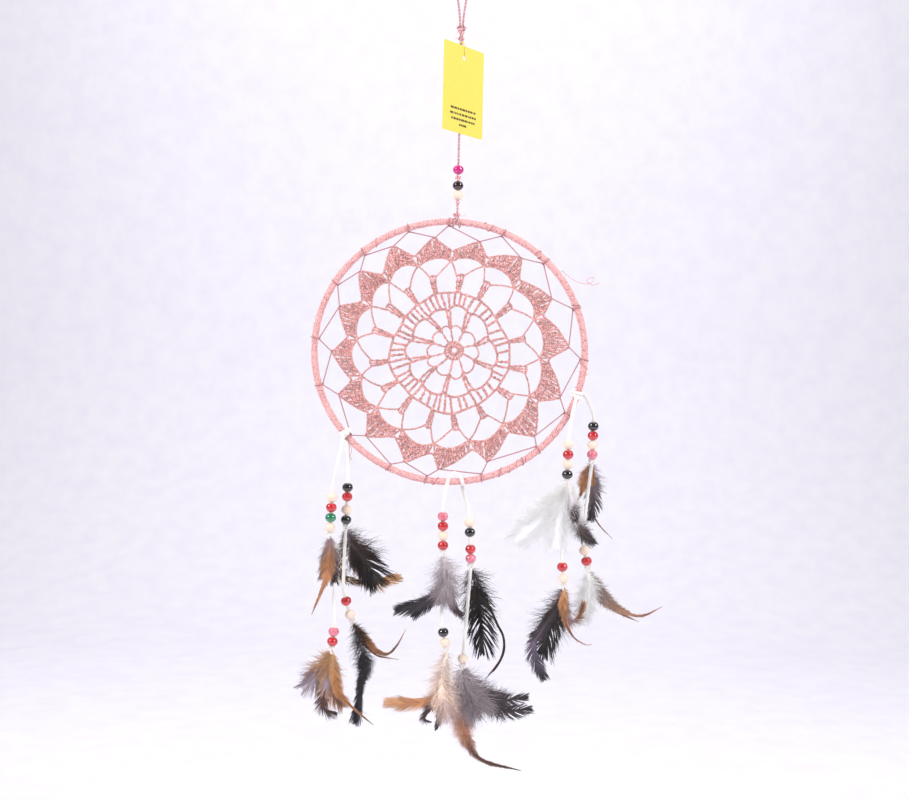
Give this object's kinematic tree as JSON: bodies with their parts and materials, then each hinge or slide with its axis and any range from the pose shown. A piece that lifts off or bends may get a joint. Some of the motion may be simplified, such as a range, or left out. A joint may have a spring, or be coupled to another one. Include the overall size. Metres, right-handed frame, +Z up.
{
  "type": "dream catcher",
  "caption": "Hanging dream catcher: a yarn-wound hoop with a crocheted mandala web, and laces of wooden beads and feathers hung from three points of the hoop.",
  "frame": {"origin": "the point of the hanging loop that bears on a nail or peg, at the very top", "axes": "+Z up, +X to the right across the hoop seen from the front, +Y from the front to the back, square to the hoop"},
  "size_m": [0.2657, 0.0342, 0.5949],
  "materials": {
    "pink_cord": "two-ply twisted yarn, matt",
    "pink_wrap": "yarn wound tightly round the hoop, matt",
    "pink_crochet": "crocheted yarn, matt",
    "pink_lacing": "thin thread, matt",
    "hoop_wire": "plain drawn wire",
    "tag_thread": "thin thread",
    "tag_card": "bright yellow card, slight gloss",
    "tag_print": "dark print bars",
    "white_suede": "soft suede lace",
    "painted_beads": "glossy paint on turned wood",
    "magenta_paint": "glossy paint on turned wood",
    "maroon_paint": "glossy paint on turned wood",
    "red_paint": "glossy paint on turned wood",
    "black_paint": "glossy paint on turned wood",
    "pink_paint": "glossy paint on turned wood",
    "green_paint": "glossy paint on turned wood",
    "natural_wood": "pale turned wood, satin",
    "feather": "soft vane and down"
  },
  "bodies": {
    "hanging_loop": {"hanging_loop": "pink_cord"},
    "loop_knot": {"loop_knot": "pink_cord"},
    "cord": {"hanging_cord": "pink_cord", "cord_knots": "pink_cord"},
    "tag_collar": {"tag_collar": "tag_thread"},
    "tag": {"tag_loop": "tag_thread", "swing_tag": "tag_card"},
    "magenta_bead": {"magenta_bead": "magenta_paint"},
    "maroon_bead": {"maroon_bead": "maroon_paint"},
    "natural_bead": {"natural_bead": "natural_wood"},
    "hoop_hitch": {"hoop_hitch": "pink_cord"},
    "hoop": {"hoop_core": "hoop_wire", "hoop_wrap": "pink_wrap", "crochet_web": "pink_crochet", "lacing_thread": "pink_lacing", "left_tie": "white_suede", "bottom_tie": "white_suede", "right_tie": "white_suede"},
    "left_outer": {"left_outer_upper_lace": "white_suede", "left_outer_upper_beads": "painted_beads", "left_outer_upper_feathers": "feather"},
    "left_outer_lower": {"left_outer_lower_lace": "white_suede", "left_outer_lower_beads": "painted_beads", "left_outer_lower_feathers": "feather"},
    "left_inner": {"left_inner_upper_lace": "white_suede", "left_inner_upper_beads": "painted_beads", "left_inner_upper_feathers": "feather"},
    "left_inner_lower": {"left_inner_lower_lace": "white_suede", "left_inner_lower_beads": "painted_beads", "left_inner_lower_feathers": "feather"},
    "bottom_left": {"bottom_left_upper_lace": "white_suede", "bottom_left_upper_beads": "painted_beads", "bottom_left_upper_feathers": "feather"},
    "bottom_left_lower": {"bottom_left_lower_lace": "white_suede", "bottom_left_lower_beads": "painted_beads", "bottom_left_lower_feathers": "feather"},
    "bottom_right": {"bottom_right_upper_lace": "white_suede", "bottom_right_upper_beads": "painted_beads", "bottom_right_upper_feathers": "feather"},
    "bottom_right_lower": {"bottom_right_lower_lace": "white_suede", "bottom_right_lower_beads": "painted_beads", "bottom_right_lower_feathers": "feather"},
    "right_inner": {"right_inner_upper_lace": "white_suede", "right_inner_upper_beads": "painted_beads", "right_inner_upper_feathers": "feather"},
    "right_inner_lower": {"right_inner_lower_lace": "white_suede", "right_inner_lower_beads": "painted_beads", "right_inner_lower_feathers": "feather"},
    "right_outer": {"right_outer_upper_lace": "white_suede", "right_outer_upper_beads": "painted_beads", "right_outer_upper_feathers": "feather"},
    "right_outer_lower": {"right_outer_lower_lace": "white_suede", "right_outer_lower_beads": "painted_beads", "right_outer_lower_feathers": "feather"}
  },
  "joints": [
    {"name": "swing_fore", "type": "hinge", "parent": "hanging_loop", "child": "loop_knot", "pos_m": [0, 0, -0.045], "axis": [1, 0, 0], "range_deg": [-25, 25]},
    {"name": "swing_side", "type": "hinge", "parent": "loop_knot", "child": "cord", "pos_m": [0, 0, -0.045], "axis": [0, 1, 0], "range_deg": [-25, 25]},
    {"name": "tag_turn", "type": "hinge", "parent": "cord", "child": "tag_collar", "pos_m": [0, 0, -0.0544], "axis": [0, 0, 1], "range_deg": [-150, 150]},
    {"name": "tag_swing", "type": "hinge", "parent": "tag_collar", "child": "tag", "pos_m": [0.00242, -0.0021, -0.0552], "axis": [-0.6561, -0.7547, 0], "range_deg": [0, 40]},
    {"name": "magenta_bead_spin", "type": "hinge", "parent": "cord", "child": "magenta_bead", "pos_m": [0, 0, -0.1481], "axis": [0, 0, 1], "continuous": true},
    {"name": "maroon_bead_spin", "type": "hinge", "parent": "cord", "child": "maroon_bead", "pos_m": [0, 0, -0.1598], "axis": [0, 0, 1], "continuous": true},
    {"name": "natural_bead_spin", "type": "hinge", "parent": "cord", "child": "natural_bead", "pos_m": [0, 0, -0.167], "axis": [0, 0, 1], "continuous": true},
    {"name": "hoop_turn", "type": "hinge", "parent": "cord", "child": "hoop_hitch", "pos_m": [0, 0, -0.183], "axis": [0, 0, 1], "range_deg": [-180, 180]},
    {"name": "hoop_tilt", "type": "hinge", "parent": "hoop_hitch", "child": "hoop", "pos_m": [0, 0, -0.18666], "axis": [1, 0, 0], "range_deg": [-35, 35]},
    {"name": "left_outer_swing", "type": "hinge", "parent": "hoop", "child": "left_outer", "pos_m": [-0.0805, -0.0044, -0.348], "axis": [0, 1, 0], "range_deg": [-12, 12]},
    {"name": "left_outer_lower_swing", "type": "hinge", "parent": "left_outer", "child": "left_outer_lower", "pos_m": [-0.0887, -0.0044, -0.4194], "axis": [0, 1, 0], "range_deg": [-15, 15]},
    {"name": "left_inner_swing", "type": "hinge", "parent": "hoop", "child": "left_inner", "pos_m": [-0.0775, 0.0044, -0.3495], "axis": [0, 1, 0], "range_deg": [-12, 12]},
    {"name": "left_inner_lower_swing", "type": "hinge", "parent": "left_inner", "child": "left_inner_lower", "pos_m": [-0.0777, 0.0044, -0.4144], "axis": [0, 1, 0], "range_deg": [-15, 15]},
    {"name": "bottom_left_swing", "type": "hinge", "parent": "hoop", "child": "bottom_left", "pos_m": [-0.004, -0.0044, -0.384], "axis": [0, 1, 0], "range_deg": [-12, 12]},
    {"name": "bottom_left_lower_swing", "type": "hinge", "parent": "bottom_left", "child": "bottom_left_lower", "pos_m": [-0.005, -0.0044, -0.4307], "axis": [0, 1, 0], "range_deg": [-15, 15]},
    {"name": "bottom_right_swing", "type": "hinge", "parent": "hoop", "child": "bottom_right", "pos_m": [0.0082, 0.0044, -0.3825], "axis": [0, 1, 0], "range_deg": [-12, 12]},
    {"name": "bottom_right_lower_swing", "type": "hinge", "parent": "bottom_right", "child": "bottom_right_lower", "pos_m": [0.016, 0.0044, -0.4411], "axis": [0, 1, 0], "range_deg": [-15, 15]},
    {"name": "right_inner_swing", "type": "hinge", "parent": "hoop", "child": "right_inner", "pos_m": [0.088, -0.0044, -0.326], "axis": [0, 1, 0], "range_deg": [-12, 12]},
    {"name": "right_inner_lower_swing", "type": "hinge", "parent": "right_inner", "child": "right_inner_lower", "pos_m": [0.0851, -0.0044, -0.3764], "axis": [0, 1, 0], "range_deg": [-15, 15]},
    {"name": "right_outer_swing", "type": "hinge", "parent": "hoop", "child": "right_outer", "pos_m": [0.1005, 0.0044, -0.317], "axis": [0, 1, 0], "range_deg": [-12, 12]},
    {"name": "right_outer_lower_swing", "type": "hinge", "parent": "right_outer", "child": "right_outer_lower", "pos_m": [0.1042, 0.0044, -0.3618], "axis": [0, 1, 0], "range_deg": [-15, 15]}
  ]
}
